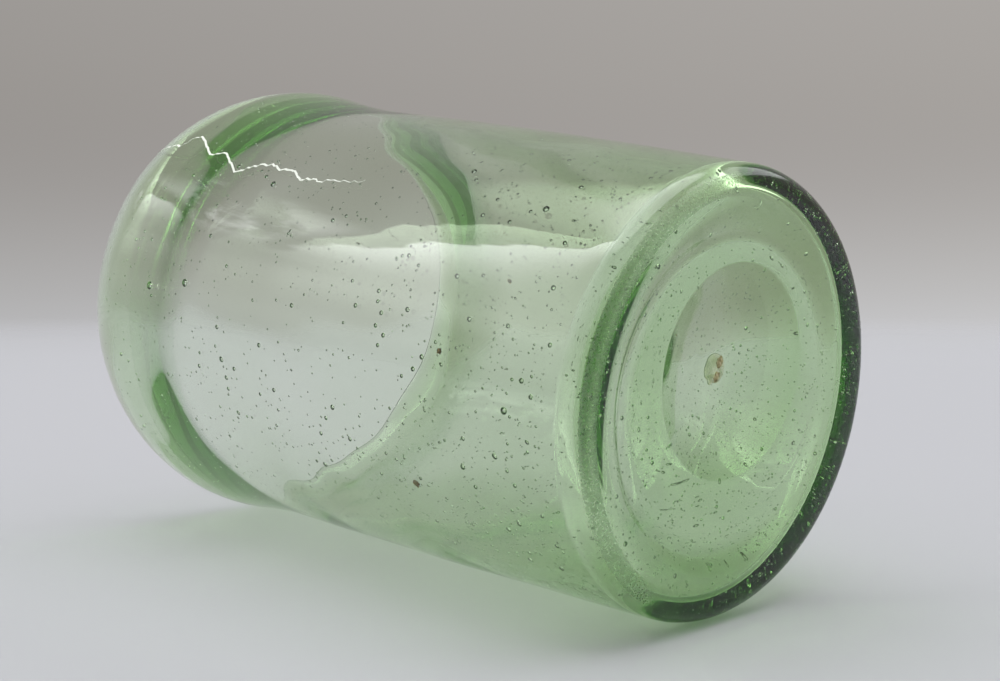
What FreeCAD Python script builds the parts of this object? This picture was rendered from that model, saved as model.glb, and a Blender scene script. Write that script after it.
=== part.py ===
import FreeCAD, Part
import math
import os

# A free-blown beaker of pale green glass, modelled standing on its base.
# Lengths are in millimetres and angles in degrees. The origin is the centre of the ring that the
# beaker rests on, and +Z runs up its axis to the mouth. The base is pushed in a little towards +Y.

# Outline of the outside, from the resting ring up to the rim
overall_height = 118.0
heel_radius = 31.6
heel_rounding = 3.0
resting_ring_width = 1.4
wall_lean = 6.6
waist_radius = 39.7
flare_rise = 24.0
flare_radius = 43.3
lip_rise = 10.0
rim_radius = 43.1

# How thick the glass is: in the wall, at the swell where its inside starts to flare, at the heel beside
# and over the ring, and over the push. The swell's place is a share of the flare's arc, from the waist up.
wall_thickness = 1.7
swell_thickness = 2.4
swell_height_share = 0.5
heel_wall_thickness = 2.8
heel_floor_thickness = 3.8
floor_thickness = 2.6
inside_corner_rounding = 1.4

# The hollow under the base, and the rounded push of the pontil rod in the middle of it
hollow_depth = 1.85
hollow_slope_width = 5.1
push_radius = 15.0
push_depth = 3.65
push_off_centre = 3.3
push_edge_rounding = 1.0

# The scar that the pontil rod left, and the specks of iron scale on it
scar_radius = 2.6
scar_thickness = 0.6
scale_radius = 0.75
scale_thickness = 0.25
scale_spacing = 2.1

# Unmelted stones of the glass batch that lie inside the wall's thickness
stone_radius = 0.55

# Each stone's turn about the axis from +X as a share of a full turn,
# and its height as a share of the way from the seam to the waist
stone_places_shares = ((0.894, 0.27), (0.989, 0.18), (0.441, 1.03))

# Where the base, which is shaped by itself, ends and the blown wall begins
seam_height = 11.0

# A cut runs past what it cuts by this much
overrun = 5.0

# How near an edge has to be to the place where it is looked for, as a share of the hollow's depth
nearness_share = 0.001

full_turn = 360.0
quarter_turn = full_turn / 4
axis_direction = FreeCAD.Vector(0, 0, 1)
ring_outer_radius = heel_radius - heel_rounding
ring_inner_radius = ring_outer_radius - resting_ring_width
push_height = hollow_depth + push_depth
inside_floor_height = push_height + floor_thickness
flare_height = overall_height - lip_rise
waist_height = flare_height - flare_rise
rim_rounding = wall_thickness / 2
rim_side_height = overall_height - rim_rounding


def point(radius, height):
    """A point of the outline, which is drawn in the XZ plane."""
    return FreeCAD.Vector(radius, 0, height)


def heading(rise):
    """The unit direction that rises by an angle from level, away from the axis."""
    angle = math.radians(rise)
    return point(math.cos(angle), math.sin(angle))


def left_of(direction):
    """The direction a quarter turn to the left, seen with +X to the right and +Z up."""
    return point(-direction.z, direction.x)


def arc_turning(start, start_heading, end_heading, radius):
    """An arc that turns left from one heading to another, with its end point."""
    centre = start + left_of(start_heading) * radius
    half_way = (left_of(start_heading) + left_of(end_heading)).normalize()
    end = centre - left_of(end_heading) * radius
    return Part.Arc(start, centre - half_way * radius, end).toShape(), end


def arc_reaching(start, start_heading, end):
    """An arc that leaves along a heading and reaches a point, with the heading it ends on."""
    chord = end - start
    along = FreeCAD.Vector(chord).normalize()
    turn = math.asin(left_of(start_heading).dot(along))
    bulge = chord.Length / 2 * math.tan(turn / 2)
    middle = start + chord * 0.5 - left_of(along) * bulge
    end_heading = along * (2 * start_heading.dot(along)) - start_heading
    return Part.Arc(start, middle, end).toShape(), end_heading


def outside_edges():
    """The outside, from the resting ring round the heel, and up the wall and the lip to the rim."""
    ring_edge = point(ring_outer_radius, 0)
    lean = heading(quarter_turn - wall_lean)
    heel, heel_end = arc_turning(ring_edge, heading(0), lean, heel_rounding)
    wall, waist_heading = arc_reaching(heel_end, lean, point(waist_radius, waist_height))
    flare_end = point(flare_radius, flare_height)
    flare, flare_heading = arc_reaching(point(waist_radius, waist_height), waist_heading, flare_end)
    lip = arc_reaching(flare_end, flare_heading, point(rim_radius, rim_side_height))[0]
    return [heel, wall, flare, lip], waist_heading


def inside_edges(flare, waist_heading):
    """The inside, from the rim down the wall and over the floor to the axis."""
    flare_start, flare_end = flare.ParameterRange
    swell_outside = flare.valueAt(flare_start + (flare_end - flare_start) * swell_height_share)
    swell = swell_outside - point(swell_thickness, 0)
    rim = point(rim_radius - wall_thickness, rim_side_height)
    waist = point(waist_radius - wall_thickness, waist_height)
    corner = point(heel_radius - heel_wall_thickness, heel_floor_thickness + inside_corner_rounding)
    swell_edge, swell_heading = arc_reaching(waist, waist_heading, swell)
    lip_edge = arc_reaching(swell, swell_heading, rim)[0]
    wall_edge, corner_heading = arc_reaching(waist, waist_heading * -1, corner)
    return [lip_edge, swell_edge, wall_edge] + domed_floor_edges(corner, left_of(corner_heading))


def domed_floor_edges(corner, outward):
    """The rounded corner where the wall ends, and the dome of the floor that it runs smoothly into."""
    centre = corner - outward * inside_corner_rounding
    top = point(0, inside_floor_height)
    drop = top.z - centre.z
    reach = centre.x ** 2 + drop ** 2 - inside_corner_rounding ** 2
    dome_radius = reach / (2 * (inside_corner_rounding + drop))
    dome_centre = point(0, top.z - dome_radius)
    slope = (centre - dome_centre).normalize()
    half_way = (outward - slope).normalize()
    foot = dome_centre + slope * dome_radius
    dome_half_way = (slope + axis_direction).normalize()
    rounding = Part.Arc(corner, centre + half_way * inside_corner_rounding, foot)
    dome = Part.Arc(foot, dome_centre + dome_half_way * dome_radius, top)
    return [rounding.toShape(), dome.toShape()]


def turned_glass():
    """The whole glass as it is turned, before the rod pushes its base in."""
    outside, waist_heading = outside_edges()
    inside = inside_edges(outside[2], waist_heading)
    rim_outer = point(rim_radius, rim_side_height)
    rim_top = point(rim_radius - rim_rounding, overall_height)
    rim_inner = point(rim_radius - wall_thickness, rim_side_height)
    rim = Part.Arc(rim_outer, rim_top, rim_inner).toShape()
    floor_centre = point(0, inside_floor_height)
    hollow_centre = point(0, hollow_depth)
    hollow_edge = point(ring_inner_radius - hollow_slope_width, hollow_depth)
    ring_edge = point(ring_inner_radius, 0)
    slope = arc_reaching(ring_edge, heading(0) * -1, hollow_edge)[0]
    edges = outside + [rim] + inside
    edges.append(Part.makeLine(floor_centre, hollow_centre))
    edges.append(Part.makeLine(hollow_centre, hollow_edge))
    edges.append(slope)
    edges.append(Part.makeLine(ring_edge, point(ring_outer_radius, 0)))
    face = Part.Face(Part.Wire(edges))
    return face.revolve(point(0, 0), axis_direction, full_turn)


# The push is a cap of a sphere
push_sphere_radius = (push_radius ** 2 + push_depth ** 2) / (2 * push_depth)
push_axis = FreeCAD.Vector(0, push_off_centre, 0)
push_centre = push_axis + axis_direction * (push_height - push_sphere_radius)


def push_cap():
    """The room that the rod's end pushed into the base, above the flat of the hollow."""
    reach = push_sphere_radius + overrun
    corner = FreeCAD.Vector(-reach, push_off_centre - reach, hollow_depth)
    above = Part.makeBox(2 * reach, 2 * reach, reach, corner)
    return Part.makeSphere(push_sphere_radius, push_centre).common(above)


def push_rim_edges(solid):
    """The edges of the glass that run round the push on the flat of the hollow."""
    near = hollow_depth * nearness_share
    found = []
    for edge in solid.Edges:
        box = edge.BoundBox
        level = abs(box.ZMax - hollow_depth) < near and abs(box.ZMin - hollow_depth) < near
        round_the_push = abs(box.Center.y - push_off_centre) < near and box.YLength > near
        if level and round_the_push:
            found.append(edge)
    return found


def pushed_glass():
    """The glass with the rounded push in its base."""
    glass = turned_glass().cut(push_cap()).removeSplitter()
    return glass.makeFillet(push_edge_rounding, push_rim_edges(glass))


def slice_between(low, high):
    """All the room that the beaker takes between two heights."""
    return Part.makeCylinder(flare_radius + overrun, high - low, axis_direction * low)


def patch_under_push(radius, thickness, depth, side):
    """A round patch of even thickness that lies at a depth under the pushed surface."""
    foot = push_axis + FreeCAD.Vector(0, side, 0)
    column = Part.makeCylinder(radius, push_height, foot)
    outer = Part.makeSphere(push_sphere_radius - depth, push_centre)
    inner = Part.makeSphere(push_sphere_radius - depth - thickness, push_centre)
    return column.common(outer).cut(inner)


def mid_wall_radius_at(height, wall):
    """The radius of the middle of the wall at a height, measured on its solid."""
    outlines = sorted(wire.Length for wire in wall.slice(axis_direction, height))
    return sum(outlines[-2:]) / 2 / (2 * math.pi)


def stone_in(wall, turn_share, height_share):
    """A round stone in the middle of the wall's thickness."""
    height = seam_height + height_share * (waist_height - seam_height)
    radius = mid_wall_radius_at(height, wall)
    turn = math.radians(full_turn * turn_share)
    centre = FreeCAD.Vector(radius * math.cos(turn), radius * math.sin(turn), height)
    return Part.makeSphere(stone_radius, centre)


def save(shape, name):
    """Writes one node and says what it holds."""
    shape.exportStep("parts/" + name + ".step")
    print(name, "has", len(shape.Solids), "solids and", round(shape.Volume, 2), "cubic millimetres")


os.makedirs("parts", exist_ok=True)

whole_glass = pushed_glass()
pushed_in_base = whole_glass.common(slice_between(-overrun, seam_height))
blown_wall = whole_glass.common(slice_between(seam_height, overall_height + overrun))

stones = []
for place_turn_share, place_height_share in stone_places_shares:
    stone = stone_in(blown_wall, place_turn_share, place_height_share)
    stones.append(stone)
    blown_wall = blown_wall.cut(stone)

pontil_scar = patch_under_push(scar_radius, scar_thickness, 0, 0)
specks = []
for direction in (-1, 1):
    offset = direction * scale_spacing / 2
    specks.append(patch_under_push(scale_radius, scale_thickness, scar_thickness, offset))

save(blown_wall, "blown_wall")
save(pushed_in_base, "pushed_in_base")
save(pontil_scar, "pontil_scar")
save(Part.makeCompound(specks), "iron_scale")
save(Part.makeCompound(stones), "batch_stones")
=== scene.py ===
# %% [markdown]
# # A free-blown beaker of pale green glass
# The real beaker was blown, pushed in at the base with an iron rod, cracked off the rod and fire-polished
# at the lip. It lies on its side on a pale surface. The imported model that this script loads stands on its
# base, so the scene is turned instead of the beaker: the floor is the slanting plane that the lying beaker
# touches, and the camera looks at it from low down, close to the base.

# %% The frame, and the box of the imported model
import bpy
import math
import random
from mathutils import Matrix, Vector, noise
from mathutils.bvhtree import BVHTree


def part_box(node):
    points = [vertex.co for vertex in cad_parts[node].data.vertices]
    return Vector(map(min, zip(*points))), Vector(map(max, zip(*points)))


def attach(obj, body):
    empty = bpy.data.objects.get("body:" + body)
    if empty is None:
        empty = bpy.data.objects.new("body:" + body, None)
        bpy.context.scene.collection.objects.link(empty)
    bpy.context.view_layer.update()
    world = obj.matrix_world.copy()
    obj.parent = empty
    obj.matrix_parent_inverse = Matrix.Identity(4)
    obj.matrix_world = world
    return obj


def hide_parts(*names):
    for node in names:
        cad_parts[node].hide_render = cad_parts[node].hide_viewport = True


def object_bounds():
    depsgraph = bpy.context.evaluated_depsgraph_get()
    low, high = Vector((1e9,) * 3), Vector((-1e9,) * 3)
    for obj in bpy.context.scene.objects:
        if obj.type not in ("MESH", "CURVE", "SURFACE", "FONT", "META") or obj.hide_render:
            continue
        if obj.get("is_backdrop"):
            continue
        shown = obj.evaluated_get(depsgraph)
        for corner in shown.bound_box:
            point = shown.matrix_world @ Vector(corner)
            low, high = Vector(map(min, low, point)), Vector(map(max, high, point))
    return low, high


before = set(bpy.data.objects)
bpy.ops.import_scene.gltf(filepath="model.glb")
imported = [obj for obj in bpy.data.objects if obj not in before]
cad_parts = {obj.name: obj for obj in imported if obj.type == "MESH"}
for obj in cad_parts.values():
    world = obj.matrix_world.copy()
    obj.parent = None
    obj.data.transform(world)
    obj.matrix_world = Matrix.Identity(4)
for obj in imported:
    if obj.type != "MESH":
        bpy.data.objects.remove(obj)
cad_low, cad_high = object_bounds()
print("The packed model stands", round(cad_high.z * 1000, 1), "mm tall on nodes", sorted(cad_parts))

# %% [markdown]
# ## Two helpers for materials
# A shader takes linear colours, while the colours here are given as sRGB hex values, so one function turns
# one into the other. The other function adds a node, sets it up and wires its inputs in one go, which keeps
# each material below as short as its description.

# %% Colours and nodes
mm = 0.001


def colour(hex_value):
    """The linear colour of an sRGB hex value such as #c8c8cd."""
    shares = [int(hex_value[place:place + 2], 16) / 255 for place in (1, 3, 5)]
    linear = [share / 12.92 if share <= 0.04045 else ((share + 0.055) / 1.055) ** 2.4 for share in shares]
    return (*linear, 1.0)


def node(tree, kind, settings=(), **inputs):
    """Adds a node, gives it its settings, and gives each input a value or another node's output.
    An input is named by its name with _ for a space, or by _0, _1 and so on for its place."""
    made = tree.nodes.new(kind)
    for name, value in dict(settings).items():
        setattr(made, name, value)
    for name, value in inputs.items():
        socket = made.inputs[int(name[1:])] if name[0] == "_" else made.inputs[name.replace("_", " ")]
        if isinstance(value, bpy.types.NodeSocket):
            tree.links.new(value, socket)
        else:
            socket.default_value = value
    return made


def new_material(name):
    """An empty node material and its node tree."""
    material = bpy.data.materials.new(name)
    material.use_nodes = True
    material.node_tree.nodes.clear()
    return material, material.node_tree


# %% [markdown]
# ## The outline of the glass
# A blown vessel is round about its axis, so its shape is one outline turned about that axis. The outline is
# a chain of arcs that run smoothly into each other, as the surface of hot glass does. It starts in the
# middle of the base underneath, runs over the resting ring and the heel, up the outside, over the lip, down
# the inside and ends in the middle of the floor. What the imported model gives, such as the overall height, is
# read from it.

# %% Sizes of the beaker
heel_radius = 31.6 * mm
heel_rounding = 3.0 * mm
resting_ring_width = 1.4 * mm
wall_lean = math.radians(6.6)
waist_radius = 39.7 * mm
flare_radius = 43.3 * mm
flare_rise = 24.0 * mm
lip_rise = 10.0 * mm
rim_radius = 43.1 * mm
wall_thickness = 1.7 * mm
swell_thickness = 2.4 * mm
swell_height_share = 0.5
heel_wall_thickness = 2.8 * mm
heel_floor_thickness = 3.8 * mm
floor_thickness = 2.6 * mm
inside_corner_rounding = 1.4 * mm
hollow_depth = 1.85 * mm
hollow_slope_width = 5.1 * mm
push_radius = 15.0 * mm
push_edge_rounding = 1.0 * mm

overall_height = cad_high.z
scar_low, scar_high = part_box("pontil_scar")
push_off_centre = (scar_low.y + scar_high.y) / 2
push_depth = scar_high.z - hollow_depth
seam_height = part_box("pushed_in_base")[1].z
flare_height = overall_height - lip_rise
waist_height = flare_height - flare_rise
ring_outer_radius = heel_radius - heel_rounding
ring_inner_radius = ring_outer_radius - resting_ring_width
push_sphere_radius = (push_radius ** 2 + push_depth ** 2) / (2 * push_depth)
push_sphere_height = hollow_depth + push_depth - push_sphere_radius
off_centre_in_mm, depth_in_mm = round(push_off_centre / mm, 2), round(push_depth / mm, 2)
print("The push is", off_centre_in_mm, "mm off centre and", depth_in_mm, "mm deep")

# %% Arcs of the outline
longest_row = 3.0 * mm
longest_lip_row = 1.2 * mm
largest_row_turn = math.radians(9)
straight_turn = math.radians(0.0001)


def point(radius, height):
    """A point of the outline, which is drawn in the XZ plane."""
    return Vector((radius, 0, height))


def left_of(direction):
    """The direction a quarter turn to the left, with +X to the right and +Z up."""
    return Vector((-direction.z, 0, direction.x))


def arc_point(start, direction, end, share):
    """The point at a share of the arc that leaves the start along a direction and reaches the end."""
    chord = end - start
    half_turn = math.asin(left_of(direction).dot(chord.normalized()))
    if abs(half_turn) < straight_turn:
        return start + chord * share
    turn = 2 * half_turn * share
    radius = chord.length / 2 / math.sin(half_turn)
    return start + (direction * math.sin(turn) + left_of(direction) * (1 - math.cos(turn))) * radius


def arc(start, direction, end, longest=longest_row):
    """The points of the arc that leaves along a direction and reaches the end, without its start,
    and the direction in which it arrives."""
    chord = end - start
    along = chord.normalized()
    turn = 2 * math.asin(left_of(direction).dot(along))
    rows = max(math.ceil(chord.length / longest), math.ceil(abs(turn) / largest_row_turn))
    points = [arc_point(start, direction, end, (row + 1) / rows) for row in range(rows)]
    return points, along * (2 * direction.dot(along)) - direction


# %% The whole outline
outwards = point(1, 0)
base_middle = point(0, push_sphere_height + push_sphere_radius)
rounding_height = hollow_depth + push_edge_rounding - push_sphere_height
rounding_reach = push_sphere_radius + push_edge_rounding
hollow_start = point(math.sqrt(rounding_reach ** 2 - rounding_height ** 2), hollow_depth)
cap_share = push_sphere_radius / rounding_reach
cap_end = point(hollow_start.x * cap_share, push_sphere_height + rounding_height * cap_share)
hollow_end = point(ring_inner_radius - hollow_slope_width, hollow_depth)
ring_inner = point(ring_inner_radius, 0)
ring_outer = point(ring_outer_radius, 0)
lean = point(math.sin(wall_lean), math.cos(wall_lean))
heel_top = ring_outer + point(0, heel_rounding) - left_of(lean) * heel_rounding
rim_side_height = overall_height - wall_thickness / 2

outline = [base_middle]
heading = outwards
for corner in (cap_end, hollow_start, hollow_end):
    points, heading = arc(outline[-1], heading, corner)
    outline += points
slope = (ring_inner - hollow_end).normalized()
points, heading = arc(hollow_end, slope * (2 * outwards.dot(slope)) - outwards, ring_inner)
outline += points
for corner in (ring_outer, heel_top, point(waist_radius, waist_height)):
    points, heading = arc(outline[-1], heading, corner)
    outline += points
    heading = lean if corner is heel_top else heading
waist_heading = heading
flare_top = point(flare_radius, flare_height)
rim_top = point(rim_radius - wall_thickness / 2, overall_height)
for corner in (
    flare_top,
    point(rim_radius, rim_side_height),
    rim_top,
    point(rim_radius - wall_thickness, rim_side_height),
):
    points, heading = arc(outline[-1], heading, corner, longest_lip_row)
    outline += points

# The inside is worked out from the waist, up to the rim and down to the floor, and the upper part is
# turned round
waist_inside = point(waist_radius - wall_thickness, waist_height)
swell_outside = arc_point(point(waist_radius, waist_height), waist_heading, flare_top, swell_height_share)
upper, heading = arc(waist_inside, waist_heading, swell_outside - point(swell_thickness, 0), longest_lip_row)
lip, heading = arc(upper[-1], heading, outline[-1], longest_lip_row)
outline += list(reversed([waist_inside] + upper + lip[:-1]))
corner_start = point(heel_radius - heel_wall_thickness, heel_floor_thickness + inside_corner_rounding)
points, heading = arc(outline[-1], -waist_heading, corner_start)
outline += points

# The floor is a wide cap whose top is over the push, and the corner's arc runs smoothly into it
floor_top = base_middle + point(0, floor_thickness)
corner_centre = corner_start - left_of(heading) * inside_corner_rounding
drop = floor_top.z - corner_centre.z
reach = corner_centre.x ** 2 + drop ** 2 - inside_corner_rounding ** 2
floor_sphere_radius = reach / (2 * (inside_corner_rounding + drop))
floor_centre = floor_top - point(0, floor_sphere_radius)
to_corner = (corner_centre - floor_centre).normalized()
for corner in (floor_centre + to_corner * floor_sphere_radius, floor_top):
    points, heading = arc(outline[-1], heading, corner)
    outline += points
outline_top = max(place.z for place in outline)
print("The outline has", len(outline), "points and reaches", round(outline_top / mm, 2), "mm up")

# %% [markdown]
# ## Turning the glass
# The outline is drawn as a chain of edges: a plane is merged to a single point, which is then extruded from
# point to point. Spin turns the chain into a closed skin, and its doubles, where the turn closes and at the
# two poles, are merged. Then the rod's push is moved off centre: the rings that belong to it slide sideways,
# and the flat round it takes up the difference.

# %% The skin of the glass
segments = 176
merge_distance = 0.002 * mm


def deselect():
    """Leaves edit mode and deselects every object."""
    if bpy.context.object is not None and bpy.context.object.mode != "OBJECT":
        bpy.ops.object.mode_set(mode="OBJECT")
    bpy.ops.object.select_all(action="DESELECT")


deselect()
bpy.ops.mesh.primitive_plane_add(size=1 * mm, location=outline[0])
glass = bpy.context.object
glass.name = "blown_glass"
bpy.ops.object.transform_apply(location=True)
bpy.ops.object.mode_set(mode="EDIT")
bpy.ops.mesh.merge(type="CENTER")
for start, end in zip(outline, outline[1:]):
    bpy.ops.mesh.extrude_region_move(TRANSFORM_OT_translate={"value": end - start})
bpy.ops.mesh.select_all(action="SELECT")
bpy.ops.mesh.spin(steps=segments, angle=math.tau, center=(0, 0, 0), axis=(0, 0, 1))
bpy.ops.mesh.select_all(action="SELECT")
bpy.ops.mesh.remove_doubles(threshold=merge_distance)
bpy.ops.mesh.normals_make_consistent(inside=False)
bpy.ops.object.mode_set(mode="OBJECT")

slide_from = hollow_start.x
slide_to = hollow_end.x
for vertex in glass.data.vertices:
    radius = math.hypot(vertex.co.x, vertex.co.y)
    if vertex.co.z < base_middle.z + merge_distance and radius < slide_to:
        share = min(1, max(0, (slide_to - radius) / (slide_to - slide_from)))
        vertex.co.y += push_off_centre * share
print("The skin has", len(glass.data.polygons), "faces")

# %% [markdown]
# ## The unevenness of blown glass
# Glass that was blown and turned by hand is never quite even. The thick swell under the lip fades out along
# one side, so the inside of the wall is moved out there, and it's thicker on another side, where the inside
# is moved in. Then a Displace modifier with a soft cloud texture pushes the surface in and out by a tenth or
# two of a millimetre, over a few centimetres. That hardly shows as shape, but it bends what is seen through
# the wall. The base and the heel are left out of it.

# %% The two sides of the wall
corner_width = 3 * mm
half = outline.index(min(outline, key=lambda place: (place - rim_top).length))
outside_wall = [place for place in outline[:half] if place.x > ring_outer_radius]
inside_wall = [place for place in outline[half:] if place.x > corner_start.x - corner_width]


def radius_at(wall, height):
    """The radius of one side of the wall at a height, from the two nearest points of its outline."""
    rows = sorted((abs(place.z - height), place.x) for place in wall)
    (near, radius), (far, other) = rows[0], rows[1]
    return radius + (other - radius) * (near / max(near + far, merge_distance))


# %% Where the swell fades out, and where it's thicker
# Each place has its turn and its reach in degrees, and the share of the swell that is missing in its middle,
# which is below 0 where the swell is thicker
uneven_places = ((-110, 75, 0.85), (130, 45, -1.2))

for vertex in glass.data.vertices:
    height, radius = vertex.co.z, math.hypot(vertex.co.x, vertex.co.y)
    if waist_height < height < rim_side_height:
        outer, inner = radius_at(outside_wall, height), radius_at(inside_wall, height)
        if radius < (outer + inner) / 2:
            turn = math.degrees(math.atan2(vertex.co.y, vertex.co.x))
            for middle, reach, missing in uneven_places:
                away = min(1, abs(math.remainder(turn - middle, 360)) / reach)
                share = missing * math.cos(away * math.pi / 2) ** 2
                wider = max(0, outer - inner - wall_thickness) * share
                vertex.co.x *= 1 + wider / radius
                vertex.co.y *= 1 + wider / radius

# %% A slight waviness
wave_width = 26 * mm
wave_height = 0.4 * mm
fade_start, fade_end = 9 * mm, 22 * mm

free_blown = glass.vertex_groups.new(name="free_blown")
for vertex in glass.data.vertices:
    share = min(1, max(0, (vertex.co.z - fade_start) / (fade_end - fade_start)))
    free_blown.add([vertex.index], share, "REPLACE")
waves = bpy.data.textures.new("waves_of_the_glass", "CLOUDS")
waves.noise_scale = wave_width
waves.noise_depth = 1
ripple = glass.modifiers.new("ripple", "DISPLACE")
ripple.texture = waves
ripple.texture_coords = "LOCAL"
ripple.vertex_group = "free_blown"
ripple.strength = wave_height
ripple.mid_level = 0.5
deselect()
glass.select_set(True)
bpy.context.view_layer.objects.active = glass
bpy.ops.object.modifier_apply(modifier="ripple")
bpy.ops.object.shade_smooth()
print("The glass is now", [round(side / mm, 2) for side in glass.dimensions], "mm")

# %% [markdown]
# ## Seeds
# The glass is full of seeds, the small bubbles of a batch that was melted in a plain furnace. Each one is a
# hollow in the glass, so its faces point into the bubble, away from the glass. Two bubbles are made from
# spheres of triangles, a plain one for the thousands of tiny seeds and a rounder one for those that show as
# rings. Their copies are drawn out a little, because the glass was twisted and pulled while it was soft.

# %% Two bubbles
def make_bubble(name, rounds):
    """A hollow of radius 1, whose faces point inwards."""
    deselect()
    bpy.ops.mesh.primitive_ico_sphere_add(subdivisions=rounds, radius=1)
    made = bpy.context.object
    made.name = name
    bpy.ops.object.mode_set(mode="EDIT")
    bpy.ops.mesh.select_all(action="SELECT")
    bpy.ops.mesh.flip_normals()
    bpy.ops.object.mode_set(mode="OBJECT")
    bpy.ops.object.shade_smooth()
    print(name, "has", len(made.data.polygons), "faces")
    return made


tiny_bubble = make_bubble("tiny_bubble", 1)
round_bubble = make_bubble("round_bubble", 2)

# %% Places in the wall
# A line to the wall starts this far out from the axis, past most of the rise of the floor
clear_of_floor = 24 * mm
skin = BVHTree.FromObject(glass, bpy.context.evaluated_depsgraph_get())


def wall_at(turn, height):
    """The points where lines from the axis outwards and back again meet the inside and the outside."""
    direction = Vector((math.cos(turn), math.sin(turn), 0))
    level = Vector((0, 0, height))
    inner = skin.ray_cast(level + direction * clear_of_floor, direction)[0]
    outer = skin.ray_cast(level + direction * 2 * rim_radius, -direction)[0]
    return inner, outer


def in_wall(turn, height, share=0.5):
    """A point in the wall, at a share of the way from its inside to its outside."""
    inner, outer = wall_at(turn, height)
    return inner.lerp(outer, share)


def along_twist(turn):
    """The direction along the wall in which the glass was drawn out and twisted."""
    round_the_wall = Vector((-math.sin(turn), math.cos(turn), 0))
    return Vector((0, 0, 1)) * math.cos(twist) + round_the_wall * math.sin(twist)


# %% Where the seeds lie
wall_seeds, base_seeds, heel_seeds = 4300, 950, 150
wall_seed_radii = (0.11 * mm, 0.17 * mm, 0.36 * mm)
base_seed_radii = (0.09 * mm, 0.14 * mm, 0.32 * mm)
skin_clearance = 0.08 * mm
twist = math.radians(30)
crowded_turn = math.radians(-75)
turn_crowding, height_crowding = 1.25, 1.2
seeded_height = 108 * mm
base_reach = 27 * mm
seed_spacing = 1.5
dice = random.Random(7)

# The bubbles that stand out, each with its turn in degrees, its height and its radius in millimetres
large_bubbles = (
    (-4, 99, 0.74), (-1.5, 88, 0.68), (28, 75.5, 0.55), (-18, 75, 0.45), (43, 35, 0.45), (35, 17, 0.5),
    (-23, 46, 0.42), (-14, 12, 0.5), (6.4, 38.3, 0.34), (4, 37.9, 0.3), (1.6, 36.6, 0.36), (-1.5, 37.2, 0.3),
    (-3.3, 35.3, 0.34), (-5.8, 36.1, 0.3), (-40, 52, 0.4), (-58, 30, 0.4), (-30, 20, 0.42), (62, 60, 0.4),
)


def seed_radius(low, usual, high):
    """Most seeds are tiny, and a few are much larger."""
    return min(low + dice.expovariate(1) * (usual - low), high)


def crowding_turn():
    """A turn about the axis. They crowd on one side."""
    return crowded_turn + dice.choice((-1, 1)) * math.pi * dice.random() ** turn_crowding


def seed_in_wall():
    """A seed in the wall: its place, radius and direction. They crowd towards the heel."""
    size = seed_radius(*wall_seed_radii)
    height = corner_start.z + 1 * mm + dice.random() ** height_crowding * seeded_height
    turn = crowding_turn()
    inner, outer = wall_at(turn, height)
    play = max(0, 0.5 - (size + skin_clearance) / (outer - inner).length)
    return inner.lerp(outer, 0.5 + dice.uniform(-play, play)), size, along_twist(turn)


def seed_in_base():
    """A seed in the floor of the beaker, over the ring and the hollow."""
    size = seed_radius(*base_seed_radii)
    reach = base_reach * math.sqrt(dice.random())
    turn = crowding_turn()
    across = Vector((reach * math.cos(turn), reach * math.sin(turn), 0))
    from_push = (across - Vector((0, push_off_centre, 0))).length
    lowest = hollow_depth
    if from_push < push_radius:
        lowest = push_sphere_height + math.sqrt(push_sphere_radius ** 2 - from_push ** 2)
    play = floor_thickness / 2 - size - skin_clearance
    across.z = lowest + floor_thickness / 2 + dice.uniform(-play, play)
    return across, size, Vector((0, 0, 1))


def seed_in_heel():
    """A seed in the thick glass over the resting ring."""
    size = seed_radius(*base_seed_radii)
    turn = dice.uniform(0, math.tau)
    radius = dice.uniform(ring_inner_radius, ring_outer_radius + heel_rounding / 2)
    height = dice.uniform(heel_rounding * 0.4, heel_floor_thickness - 2 * skin_clearance - size)
    return Vector((radius * math.cos(turn), radius * math.sin(turn), height)), size, Vector((0, 0, 1))


seeds = []
for turn, height, size in large_bubbles:
    seeds.append((in_wall(math.radians(turn), height * mm), size * mm, along_twist(math.radians(turn))))
for amount, seed_in_glass in (
    (wall_seeds, seed_in_wall), (base_seeds, seed_in_base), (heel_seeds, seed_in_heel),
):
    enough = len(seeds) + amount
    while len(seeds) < enough:
        found, size, direction = seed_in_glass()
        if all((found - other).length > (size + other_size) * seed_spacing for other, other_size, _ in seeds):
            seeds.append((found, size, direction))
print("There are", len(seeds), "seeds")

# %% Joining the seeds into the glass
round_from = 0.27 * mm
tiny_stretch, round_stretch = 0.6, 0.35

copies = []
for found, size, direction in seeds:
    stretch = 1 + dice.random() ** 2 * (tiny_stretch if size < round_from else round_stretch)
    pattern = tiny_bubble if size < round_from else round_bubble
    copy = bpy.data.objects.new("seed", pattern.data.copy())
    turned = direction.to_track_quat("Z", "Y").to_matrix().to_4x4()
    copy.data.transform(Matrix.Translation(found) @ turned @ Matrix.Diagonal((size, size, size * stretch, 1)))
    bpy.context.scene.collection.objects.link(copy)
    copies.append(copy)
deselect()
for copy in copies:
    copy.select_set(True)
glass.select_set(True)
bpy.context.view_layer.objects.active = glass
bpy.ops.object.join()
bpy.data.objects.remove(tiny_bubble)
bpy.data.objects.remove(round_bubble)
triangles = sum(len(face.vertices) - 2 for face in glass.data.polygons)
print("With its seeds the glass has", triangles, "triangles")

# %% [markdown]
# ## The crack from the lip
# A jagged crack runs from the lip a good way down the wall. It shows white, because light is thrown back and
# scattered between its two broken faces. It's a thin strip of rough broken glass on the outside of the wall,
# with its far edge just inside it: a chain of edges from place to place, extruded sideways and given its
# thickness by Solidify. It gets narrower towards its end.

# %% The crack
crack_thickness = 0.05 * mm
crack_width = 0.42 * mm
crack_outer_share, crack_inner_share = 1.03, 0.995
crack_step = 0.8 * mm
crack_jitter = 0.3 * mm
crack_fading_places = 22
crack_dice = random.Random(11)

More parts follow.
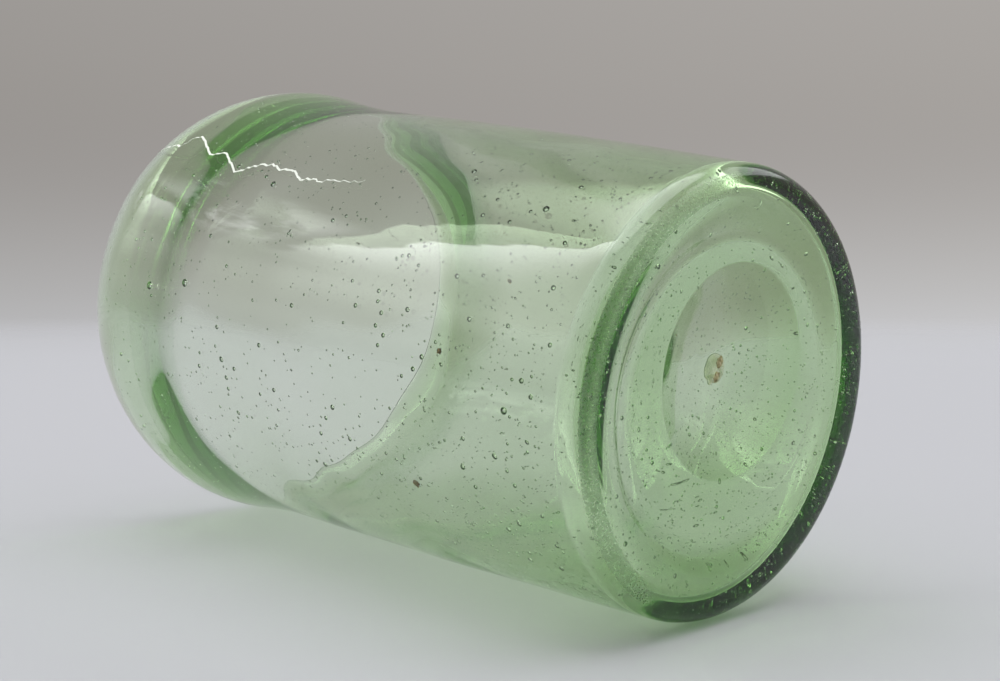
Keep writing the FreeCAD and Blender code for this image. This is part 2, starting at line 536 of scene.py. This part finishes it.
# The corners of the crack, each with its turn in degrees and its height in millimetres
crack_corners = (
    (30.5, 116.6), (31.7, 113.7), (32.8, 109.1), (37.2, 106.6), (36.1, 103.8), (32.9, 99.3), (34.1, 95.1),
    (29.1, 88.3), (31.6, 84.2), (33.4, 80.3), (32.0, 75.8), (32.8, 73.4), (30.2, 68.9), (30.9, 64.9),
    (30.1, 63.8), (31.7, 61.4), (31.6, 57.1), (33.2, 52.5),
)

crack_places = []
for (turn, height), (next_turn, next_height) in zip(crack_corners, crack_corners[1:]):
    start, end = in_wall(math.radians(turn), height * mm), in_wall(math.radians(next_turn), next_height * mm)
    steps = max(1, round((end - start).length / crack_step))
    for step in range(steps):
        jitter = crack_dice.uniform(-1, 1) * crack_jitter / mm
        share = step / steps
        height_here = height + (next_height - height) * share + jitter
        turn_here = turn + (next_turn - turn) * share + math.degrees(jitter * mm / waist_radius)
        crack_places.append((math.radians(turn_here), height_here * mm))

deselect()
bpy.ops.mesh.primitive_plane_add(size=1 * mm)
crack = bpy.context.object
crack.name = "crack"
crack_points = [in_wall(turn, height, crack_outer_share) for turn, height in crack_places]
bpy.ops.object.mode_set(mode="EDIT")
bpy.ops.mesh.merge(type="CENTER")
bpy.ops.transform.translate(value=crack_points[0])
for start, end in zip(crack_points, crack_points[1:]):
    bpy.ops.mesh.extrude_region_move(TRANSFORM_OT_translate={"value": end - start})
bpy.ops.mesh.select_all(action="SELECT")
bpy.ops.mesh.extrude_region_move()
bpy.ops.object.mode_set(mode="OBJECT")
count = len(crack_places)
for vertex in crack.data.vertices[count:]:
    turn, height = crack_places[vertex.index - count]
    fading = min(1, (count + 1 - (vertex.index - count)) / crack_fading_places)
    wider = turn + crack_width * fading / waist_radius
    vertex.co = in_wall(wider, height, crack_outer_share + (crack_inner_share - crack_outer_share) * fading)
width = crack.modifiers.new("width", "SOLIDIFY")
width.thickness = crack_thickness
width.offset = 0
deselect()
crack.select_set(True)
bpy.context.view_layer.objects.active = crack
bpy.ops.object.modifier_apply(modifier="width")
bpy.ops.object.mode_set(mode="EDIT")
bpy.ops.mesh.select_all(action="SELECT")
bpy.ops.mesh.normals_make_consistent(inside=False)
bpy.ops.object.mode_set(mode="OBJECT")
crack_length = (crack_points[-1] - crack_points[0]).length
print("The crack has", len(crack.data.polygons), "faces and is", round(crack_length / mm), "mm long")

# %% [markdown]
# ## The glass as a material
# Soda-lime glass made from unrefined sand holds a little iron, which takes out red and blue light. The
# surface itself is clear and fire-polished. The colour comes from the depth of the glass, so it is a Volume
# Absorption and not a base colour: the thin wall looks almost clear, and light that travels the long way
# through the heel comes out dark green. Underneath, the ring that the beaker stands on is worn by a long
# time on tables. One side of it is ground to a grey, speckled frost, and the rest has only small flecks.

# %% Free-blown soda-lime glass
absorption_per_metre = 126.0
absorbed_colour = "#a6da74"
worn_height = 0.7 * mm
frost_from, frost_to = -4 * mm, 18 * mm
frost_inner, frost_outer = 27.5 * mm, 30.4 * mm
frost_edge = 0.25 * mm
frost_grain = 0.28 * mm
frost_roughness = 0.45
fleck_grain = 0.9 * mm
fleck_roughness = 0.5

green_glass, tree = new_material("seedy soda-lime glass, free-blown")
place = node(tree, "ShaderNodeTexCoord").outputs["Object"]
parts = node(tree, "ShaderNodeSeparateXYZ", Vector=place)
speckle = node(tree, "ShaderNodeTexNoise", Vector=place, Scale=1 / frost_grain, Detail=3.0, Roughness=0.75)
low = node(
    tree, "ShaderNodeMapRange", {"interpolation_type": "SMOOTHSTEP"},
    Value=parts.outputs["Z"], From_Min=worn_height, From_Max=0.0, To_Min=0.0, To_Max=1.0,
)
ground_side = node(
    tree, "ShaderNodeMapRange", {"interpolation_type": "SMOOTHSTEP"},
    Value=parts.outputs["X"], From_Min=frost_from, From_Max=frost_to, To_Min=0.0, To_Max=1.0,
)
across = node(tree, "ShaderNodeCombineXYZ", X=parts.outputs["X"], Y=parts.outputs["Y"])
radius = node(tree, "ShaderNodeVectorMath", {"operation": "LENGTH"}, _0=across.outputs[0]).outputs["Value"]
inside_edge = node(
    tree, "ShaderNodeMapRange",
    Value=radius, From_Min=frost_inner - frost_edge, From_Max=frost_inner + frost_edge,
)
outside_edge = node(
    tree, "ShaderNodeMapRange",
    Value=radius, From_Min=frost_outer + frost_edge, From_Max=frost_outer - frost_edge,
)
under = node(tree, "ShaderNodeMath", {"operation": "LESS_THAN"}, _0=parts.outputs["Z"], _1=2 * worn_height)
frost = speckle.outputs["Fac"]
for mask in (ground_side, inside_edge, outside_edge, under):
    frost = node(tree, "ShaderNodeMath", {"operation": "MULTIPLY"}, _0=frost, _1=mask.outputs[0]).outputs[0]
frosted = node(
    tree, "ShaderNodeMapRange", Value=frost, From_Min=0.3, From_Max=0.52, To_Min=0.0, To_Max=frost_roughness,
)
chips = node(tree, "ShaderNodeTexNoise", Vector=place, Scale=1 / fleck_grain, Detail=4.0, Roughness=0.8)
sparse = node(
    tree, "ShaderNodeMapRange",
    Value=chips.outputs["Fac"], From_Min=0.66, From_Max=0.7, To_Min=0.0, To_Max=fleck_roughness,
)
flecks = node(tree, "ShaderNodeMath", {"operation": "MULTIPLY"}, _0=sparse.outputs[0], _1=low.outputs[0])
worn = node(tree, "ShaderNodeMath", {"operation": "MAXIMUM"}, _0=frosted.outputs[0], _1=flecks.outputs[0])
surface = node(
    tree, "ShaderNodeBsdfPrincipled",
    Base_Color=colour("#ffffff"), Roughness=worn.outputs[0], IOR=1.52, Transmission_Weight=1.0,
)
depth = node(tree, "ShaderNodeVolumeAbsorption", Color=colour(absorbed_colour), Density=absorption_per_metre)
node(tree, "ShaderNodeOutputMaterial", Surface=surface.outputs[0], Volume=depth.outputs[0])
glass.data.materials.clear()
glass.data.materials.append(green_glass)

# %% Broken glass, in the crack
# The two faces of a crack are as rough as fine sugar and send most of the light back as white
break_grain = 0.5 * mm

broken_glass, tree = new_material("soda-lime glass, broken open")
place = node(tree, "ShaderNodeTexCoord").outputs["Object"]
grain = node(tree, "ShaderNodeTexNoise", Vector=place, Scale=1 / break_grain, Detail=2.0)
roughness = node(
    tree, "ShaderNodeMapRange",
    Value=grain.outputs["Fac"], From_Min=0.3, From_Max=0.7, To_Min=0.35, To_Max=0.7,
)
white = node(tree, "ShaderNodeMixRGB", _0=grain.outputs["Fac"], _1=colour("#d5dccd"), _2=colour("#f7faf2"))
surface = node(
    tree, "ShaderNodeBsdfPrincipled", Base_Color=white.outputs[0], Roughness=roughness.outputs[0], IOR=1.52,
)
node(tree, "ShaderNodeOutputMaterial", Surface=surface.outputs[0])
crack.data.materials.append(broken_glass)
deselect()
crack.select_set(True)
glass.select_set(True)
bpy.context.view_layer.objects.active = glass
bpy.ops.object.join()
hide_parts("blown_wall", "pushed_in_base")
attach(glass, "root")
print("The glass has", len(glass.data.polygons), "faces in", len(glass.data.materials), "materials")

# %% [markdown]
# ## The pontil scar
# The beaker was held on an iron rod while its lip was worked, and cracked off it afterwards. That leaves a
# small rough patch in the push, a little yellow from the rod. A disc is inset into rings, extruded to a
# thin slab and laid along the hollow of the push, thinner and ragged towards its edge.

# %% The shape of the scar
scar_radius = (scar_high.x - scar_low.x) / 2
scar_thickness = scar_high.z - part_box("iron_scale")[1].z
scar_gap = 0.01 * mm
scar_rings = 5
scar_bump_width = 0.9 * mm
scar_raggedness = 0.3
scar_ragged_width = 1.3 * mm
scar_edge_share = 0.04
scar_middle = Vector((0, push_off_centre, scar_high.z))


def push_surface(x, y):
    """The height of the pushed-in surface over a place."""
    from_middle = math.hypot(x, y - push_off_centre)
    return push_sphere_height + math.sqrt(push_sphere_radius ** 2 - from_middle ** 2)


deselect()
bpy.ops.mesh.primitive_circle_add(vertices=40, radius=scar_radius, fill_type="NGON", location=scar_middle)
scar = bpy.context.object
scar.name = "pontil_scar_patch"
bpy.ops.object.transform_apply(location=True)
bpy.ops.object.mode_set(mode="EDIT")
bpy.ops.mesh.select_all(action="SELECT")
for ring in range(scar_rings):
    bpy.ops.mesh.inset(thickness=scar_radius / (scar_rings + 0.6))
bpy.ops.mesh.select_all(action="SELECT")
bpy.ops.mesh.extrude_region_move(TRANSFORM_OT_translate={"value": (0, 0, -scar_thickness)})
bpy.ops.object.mode_set(mode="OBJECT")
for vertex in scar.data.vertices:
    outer_side = vertex.co.z < scar_middle.z - scar_thickness / 2
    across = Vector((vertex.co.x, vertex.co.y - push_off_centre))
    share = across.length / scar_radius
    ragged = 0.5 + 0.5 * noise.noise(Vector((across.x, across.y, 0)) / scar_ragged_width)
    across *= 1 - scar_raggedness * share * ragged
    vertex.co.x, vertex.co.y = across.x, across.y + push_off_centre
    vertex.co.z = push_surface(vertex.co.x, vertex.co.y) - scar_gap
    if outer_side:
        bump = 0.85 + 0.3 * noise.noise(vertex.co / scar_bump_width)
        vertex.co.z -= scar_thickness * (scar_edge_share + bump * (1 - share ** 2) ** 2)
bpy.ops.object.mode_set(mode="EDIT")
bpy.ops.mesh.select_all(action="SELECT")
bpy.ops.mesh.normals_make_consistent(inside=False)
bpy.ops.object.mode_set(mode="OBJECT")
rounding = scar.modifiers.new("rounding", "SUBSURF")
rounding.levels = rounding.render_levels = 1
bpy.ops.object.modifier_apply(modifier="rounding")
bpy.ops.object.shade_smooth()
print("The scar is", [round(side / mm, 2) for side in scar.dimensions], "mm")

# %% Rough glass of the scar
scar_grain = 0.6 * mm

scar_glass, tree = new_material("soda-lime glass, rough pontil scar")
place = node(tree, "ShaderNodeTexCoord").outputs["Object"]
rough_spots = node(tree, "ShaderNodeTexNoise", Vector=place, Scale=1 / scar_grain, Detail=3.0, Roughness=0.7)
roughness = node(
    tree, "ShaderNodeMapRange",
    Value=rough_spots.outputs["Fac"], From_Min=0.5, From_Max=0.75, To_Min=0.0, To_Max=0.25,
)
dents = node(tree, "ShaderNodeBump", Height=rough_spots.outputs["Fac"], Strength=0.2, Distance=0.03 * mm)
stain = node(
    tree, "ShaderNodeMixRGB", _0=rough_spots.outputs["Fac"], _1=colour("#fbfbf2"), _2=colour("#f1ecd2"),
)
surface = node(
    tree, "ShaderNodeBsdfPrincipled", Base_Color=stain.outputs[0], Roughness=roughness.outputs[0], IOR=1.52,
    Transmission_Weight=1.0, Normal=dents.outputs[0],
)
node(tree, "ShaderNodeOutputMaterial", Surface=surface.outputs[0])
scar.data.materials.append(scar_glass)
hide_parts("pontil_scar")
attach(scar, "root")

# %% [markdown]
# ## Iron scale and stones
# Two flakes of scale from the iron rod stick in the scar, and three grains of sand and clay that never
# melted lie in the wall. All of them are small, crumbly and irregular. Each starts as a sphere of triangles
# that noise pushes out of round, and is pressed flat for a flake. The flakes are put where the imported
# model has them, and the grains at the places listed below.

# %% Crumbs
def crumb(name, middle, sides, turn, seed):
    """An irregular crumb about a point, with its three sides, turned about the upright."""
    deselect()
    bpy.ops.mesh.primitive_ico_sphere_add(subdivisions=3, radius=0.5)
    made = bpy.context.object
    made.name = name
    for vertex in made.data.vertices:
        vertex.co *= 0.8 + 0.42 * noise.noise(vertex.co * 3.1 + Vector((seed, 0, 0)))
        vertex.co *= 0.95 + 0.16 * noise.noise(vertex.co * 9 + Vector((0, seed, 0)))
    shape = Matrix.Diagonal((*sides, 1))
    made.data.transform(Matrix.Translation(middle) @ Matrix.Rotation(turn, 4, "Z") @ shape)
    bpy.ops.object.shade_smooth()
    return made


def joined(pieces, name):
    """The pieces as one object."""
    deselect()
    for piece in pieces:
        piece.select_set(True)
    bpy.context.view_layer.objects.active = pieces[0]
    bpy.ops.object.join()
    pieces[0].name = name
    return pieces[0]


scale_low, scale_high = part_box("iron_scale")
scale_spacing = (scale_high.y - scale_low.y) - (scale_high.x - scale_low.x)
scale_height = (scale_low.z + scale_high.z) / 2
flake_thickness = 0.36

# Each flake's seed, its side, its width and length in millimetres, and its turn
flake_shapes = ((1, -1, 1.3, 1.9, 0.3), (2, 1, 1.9, 1.9, 1.9))
flakes = []
for seed, direction, width, length, turn in flake_shapes:
    middle = Vector((0, push_off_centre + direction * scale_spacing / 2, scale_height))
    flakes.append(crumb("flake", middle, Vector((width, length, flake_thickness)) * mm, turn, seed))
scale = joined(flakes, "iron_scale_flakes")

# Each stone's turn from +X as a share of a full turn, its height as a share of the way from the seam to the
# waist, and its size as a share of the largest
stone_places_shares = ((0.894, 0.27, 1.0), (0.989, 0.18, 0.7), (0.441, 1.03, 0.9))
stone_size = 1.1 * mm
stone_sides = Vector((1.0, 1.25, 1.4))
grains = []
for number, (turn_share, height_share, size_share) in enumerate(stone_places_shares):
    turn = math.tau * turn_share
    middle = in_wall(turn, seam_height + height_share * (waist_height - seam_height))
    sides = stone_sides * stone_size * size_share
    grains.append(crumb("grain", middle, sides, turn, number + 5))
stones = joined(grains, "batch_stone_grains")
print("Flakes and grains have", len(scale.data.polygons), "and", len(stones.data.polygons), "faces")

# %% Rusty iron scale
rust_grain = 0.45 * mm

rust, tree = new_material("forge scale, rusted")
place = node(tree, "ShaderNodeTexCoord").outputs["Object"]
patches = node(tree, "ShaderNodeTexNoise", Vector=place, Scale=1 / rust_grain, Detail=4.0, Roughness=0.65)
shades = node(tree, "ShaderNodeValToRGB", Fac=patches.outputs["Fac"])
ramp = shades.color_ramp
ramp.elements[0].position, ramp.elements[0].color = 0.36, colour("#57522c")
ramp.elements[1].position, ramp.elements[1].color = 0.66, colour("#d2cba4")
ramp.elements.new(0.5).color = colour("#a39a6c")
dents = node(tree, "ShaderNodeBump", Height=patches.outputs["Fac"], Strength=0.6, Distance=0.08 * mm)
surface = node(
    tree, "ShaderNodeBsdfPrincipled", Base_Color=shades.outputs[0], Roughness=0.62, Normal=dents.outputs[0],
)
node(tree, "ShaderNodeOutputMaterial", Surface=surface.outputs[0])
scale.data.materials.append(rust)
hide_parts("iron_scale")
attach(scale, "root")

# %% Sandy stone
sand_grain = 0.3 * mm

sandy, tree = new_material("unmelted sand and clay")
place = node(tree, "ShaderNodeTexCoord").outputs["Object"]
sand = node(tree, "ShaderNodeTexNoise", Vector=place, Scale=1 / sand_grain, Detail=3.0, Roughness=0.7)
shades = node(tree, "ShaderNodeValToRGB", Fac=sand.outputs["Fac"])
ramp = shades.color_ramp
ramp.elements[0].position, ramp.elements[0].color = 0.38, colour("#6b5426")
ramp.elements[1].position, ramp.elements[1].color = 0.64, colour("#c6a468")
grit = node(tree, "ShaderNodeBump", Height=sand.outputs["Fac"], Strength=0.5, Distance=0.05 * mm)
surface = node(
    tree, "ShaderNodeBsdfPrincipled", Base_Color=shades.outputs[0], Roughness=0.8, Normal=grit.outputs[0],
)
node(tree, "ShaderNodeOutputMaterial", Surface=surface.outputs[0])
stones.data.materials.append(sandy)
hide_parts("batch_stones")
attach(stones, "root")

# %% [markdown]
# ## Camera
# The camera stands low over the surface, close to the base, and looks a little down along the wall.

# %% The camera
picture_width, picture_height = 1000, 681
camera_place = Vector((121.32, 0, -86.18)) * mm
camera_right = Vector((-0.72886, 0.21533, -0.64991))
camera_down = Vector((-0.16422, -0.97653, -0.13938))
camera_forward = Vector((-0.66467, 0.00514, 0.74712))
focal_length_in_pixels = 1078.69

camera_data = bpy.data.cameras.new("camera")
camera_data.sensor_width = 36
camera_data.lens = focal_length_in_pixels / picture_width * camera_data.sensor_width
camera_data.clip_start = 5 * mm
camera = bpy.data.objects.new("camera", camera_data)
turned = Matrix((camera_right, -camera_down, -camera_forward)).transposed()
camera.matrix_world = Matrix.Translation(camera_place) @ turned.to_4x4()
bpy.context.scene.collection.objects.link(camera)
bpy.context.scene.camera = camera

# %% [markdown]
# ## Floor
# The floor is a wide pale disc that the lying beaker touches at its heel and at its lip. With distance it
# fades into the backdrop, as a studio sweep does. It has a front only: from behind it lets everything
# through, so that the standing beaker can be looked at from all sides.

# %% The slanting plane that the beaker lies on
lying_turn = math.radians(-101.2)
lying_lean = math.radians(6.1)
floor_distance = 31.7 * mm
floor_radius = 3.0
fade_from, fade_to = 0.25, 2.2
down = Vector((math.cos(lying_turn), math.sin(lying_turn), 0)) * math.cos(lying_lean)
down -= Vector((0, 0, 1)) * math.sin(lying_lean)
up = -down
forward = (camera_forward - up * camera_forward.dot(up)).normalized()
side = forward.cross(up)

deselect()
bpy.ops.mesh.primitive_circle_add(vertices=64, radius=floor_radius, fill_type="TRIFAN")
floor = bpy.context.object
floor.name = "floor"
basis = Matrix((side, forward, up)).transposed()
floor.data.transform(Matrix.Translation(down * floor_distance) @ basis.to_4x4())
floor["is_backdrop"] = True

pale, tree = new_material("matt pale card")
place = node(tree, "ShaderNodeTexCoord").outputs["Object"]
distance = node(tree, "ShaderNodeVectorMath", {"operation": "LENGTH"}, _0=place).outputs["Value"]
fading = node(
    tree, "ShaderNodeMapRange", {"interpolation_type": "SMOOTHSTEP"},
    Value=distance, From_Min=fade_from, From_Max=fade_to, To_Min=0.0, To_Max=1.0,
).outputs[0]
card = node(tree, "ShaderNodeBsdfDiffuse", Color=colour("#b0b0b4"))
behind = node(tree, "ShaderNodeNewGeometry").outputs["Backfacing"]
gone = node(tree, "ShaderNodeMath", {"operation": "MAXIMUM"}, _0=fading, _1=behind).outputs[0]
clear = node(tree, "ShaderNodeBsdfTransparent")
either = node(tree, "ShaderNodeMixShader", _0=gone, _1=card.outputs[0], _2=clear.outputs[0])
node(tree, "ShaderNodeOutputMaterial", Surface=either.outputs[0])
floor.data.materials.append(pale)

# %% [markdown]
# ## Light
# The room is a plain soft grey all round, with one large soft window at the camera's left, which makes the
# bright reflection along the wall. Dimmer lights beside it, a few pale clouds and a lamp at the right make
# the lesser reflections. A lamp overhead and a wide soft light behind the camera light the floor. Every lamp
# is a patch of the world, placed by its azimuth from straight ahead and by the sine of its elevation, and the
# camera doesn't see any of them directly.

# %% World
window_strength, window_rest_strength = 5.2, 1.4
window_from, window_to = math.radians(-97), math.radians(-77)
window_rest_from, window_rest_to = math.radians(-140), math.radians(-88)
window_foot, window_full, window_top = 0.4, 0.65, 0.95
window_rest_foot, window_rest_full = 0.2, 0.42
glow_strength = 0.45
glow_foot, glow_top = 0.0, 0.5
back_strength = 0.5
back_foot, back_top = 0.4, 0.9
overhead_strength = 2.9
overhead_foot = 0.85
cloud_strength = 1.6
cloud_from, cloud_to = math.radians(-76), math.radians(-60)
cloud_foot, cloud_top = 0.42, 0.66
right_strength = 2.0
right_from, right_to = math.radians(48), math.radians(110)
right_foot, right_top = 0.4, 0.8
ragged_depth = 0.12

# How soft the edges are, in radians for an azimuth and as a difference of sines for a rise
side_edge, cloud_left_edge, window_rest_edge = 0.1, 0.05, 0.25
rise_edge, top_edge, glow_foot_edge, wide_edge, overhead_edge = 0.08, 0.1, 0.15, 0.2, 0.06
window_right_edge = 0.02

world = bpy.data.worlds.new("room")
bpy.context.scene.world = world
world.use_nodes = True
tree = world.node_tree
tree.nodes.clear()
ray = node(tree, "ShaderNodeTexCoord").outputs["Generated"]


def part_along(direction):
    """How far the ray's direction points along another."""
    dot = node(tree, "ShaderNodeVectorMath", {"operation": "DOT_PRODUCT"}, _0=ray, _1=direction)
    return dot.outputs["Value"]


def step(value, start, end, kind="SMOOTHSTEP"):
    """A soft step of a value, from 0 at the start to 1 at the end."""
    ranged = {"interpolation_type": kind}
    return node(tree, "ShaderNodeMapRange", ranged, Value=value, From_Min=start, From_Max=end).outputs[0]


def product(*values):
    """The product of several values."""
    result = values[0]
    for value in values[1:]:
        result = node(tree, "ShaderNodeMath", {"operation": "MULTIPLY"}, _0=result, _1=value).outputs[0]
    return result


def band(value, start, end, start_edge, end_edge):
    """1 where a value lies between a start and an end, with two soft edges inside them."""
    return product(step(value, start, start + start_edge), step(value, end, end - end_edge))


rise = part_along(up)

# Straight down is at 0 on the room's ramp, level is at 0.5 and straight up is at 1
room = node(tree, "ShaderNodeValToRGB", Fac=step(rise, -1.0, 1.0, "LINEAR"))
stops = room.color_ramp
stops.interpolation = "B_SPLINE"
stops.elements[0].position = 0.46
stops.elements[0].color = colour("#cacbd0")
stops.elements[1].position = 1.0
stops.elements[1].color = colour("#a4a3a1")
room_colours = (
    (0.0, "#b7b6b5"), (0.1, "#9c9895"), (0.2, "#a19d99"), (0.35, "#a6a3a0"), (0.6, "#b2b1af"),
)
for elevation_sine, hex_value in room_colours:
    stop = stops.elements.new((elevation_sine + 1) / 2)
    stop.color = colour(hex_value)
azimuth = node(
    tree, "ShaderNodeMath", {"operation": "ARCTAN2"}, _0=part_along(side), _1=part_along(forward),
).outputs[0]
ragged = node(tree, "ShaderNodeTexNoise", {"noise_dimensions": "1D"}, W=rise, Scale=9.0, Detail=3.0)
edge = node(
    tree, "ShaderNodeMath", {"operation": "MULTIPLY_ADD"},
    _0=ragged.outputs["Fac"], _1=-ragged_depth, _2=azimuth,
).outputs[0]
window_right = window_to - ragged_depth / 2
from_left = step(azimuth, window_from, window_to)
from_far_left = step(azimuth, window_rest_from, window_rest_to)
below_top = step(rise, window_top, window_top - top_edge)
window = product(
    step(edge, window_right, window_right - window_right_edge), from_left, from_left, below_top,
    step(rise, window_foot, window_full), window_strength,
)
window_rest = product(
    step(edge, window_to, window_to - window_rest_edge), from_far_left, below_top,
    step(rise, window_rest_foot, window_rest_full), window_rest_strength,
)
puffs = node(tree, "ShaderNodeTexNoise", Vector=ray, Scale=9.0, Detail=3.0, Roughness=0.6).outputs["Fac"]
clouds = product(
    band(azimuth, cloud_from, cloud_to, cloud_left_edge, side_edge),
    band(rise, cloud_foot, cloud_top, rise_edge, rise_edge),
    step(puffs, 0.42, 0.58), cloud_strength,
)
right_lamp = product(
    band(azimuth, right_from, right_to, side_edge, side_edge),
    band(rise, right_foot, right_top, rise_edge, rise_edge), right_strength,
)
glow = product(
    step(azimuth, window_to + side_edge, window_to - side_edge), from_far_left,
    band(rise, glow_foot, glow_top, glow_foot_edge, wide_edge), glow_strength,
)
overhead = product(step(rise, overhead_foot, overhead_foot + overhead_edge), overhead_strength)
behind_camera = product(
    step(part_along(forward), -0.1, -0.6),
    band(rise, back_foot, back_top, wide_edge, wide_edge), back_strength,
)
lamps = window
for lamp in (window_rest, glow, clouds, right_lamp, overhead, behind_camera):
    lamps = node(tree, "ShaderNodeMath", {"operation": "ADD"}, _0=lamps, _1=lamp).outputs[0]
seen = node(tree, "ShaderNodeLightPath").outputs["Is Camera Ray"]
hidden = node(tree, "ShaderNodeMix", {"data_type": "FLOAT"}, _0=seen, _2=lamps, _3=0.0)
sideways = node(
    tree, "ShaderNodeMapRange",
    Value=part_along(side), From_Min=-0.45, From_Max=0.45, To_Min=0.92, To_Max=1.1,
)
room_light = node(tree, "ShaderNodeBackground", Color=room.outputs[0], Strength=sideways.outputs[0])
lamp_light = node(tree, "ShaderNodeBackground", Color=colour("#fbfdff"), Strength=hidden.outputs[0])
both = node(tree, "ShaderNodeAddShader", _0=room_light.outputs[0], _1=lamp_light.outputs[0])
node(tree, "ShaderNodeOutputWorld", Surface=both.outputs[0])

# %% Render settings that belong to the look
bpy.context.scene.view_settings.view_transform = "Standard"
bpy.context.scene.cycles.max_bounces = 64
bpy.context.scene.cycles.transmission_bounces = 64
bpy.context.scene.cycles.glossy_bounces = 64
bpy.context.scene.cycles.blur_glossy = 0.0

# %% The bounds of the scene as built, and the end
low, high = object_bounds()
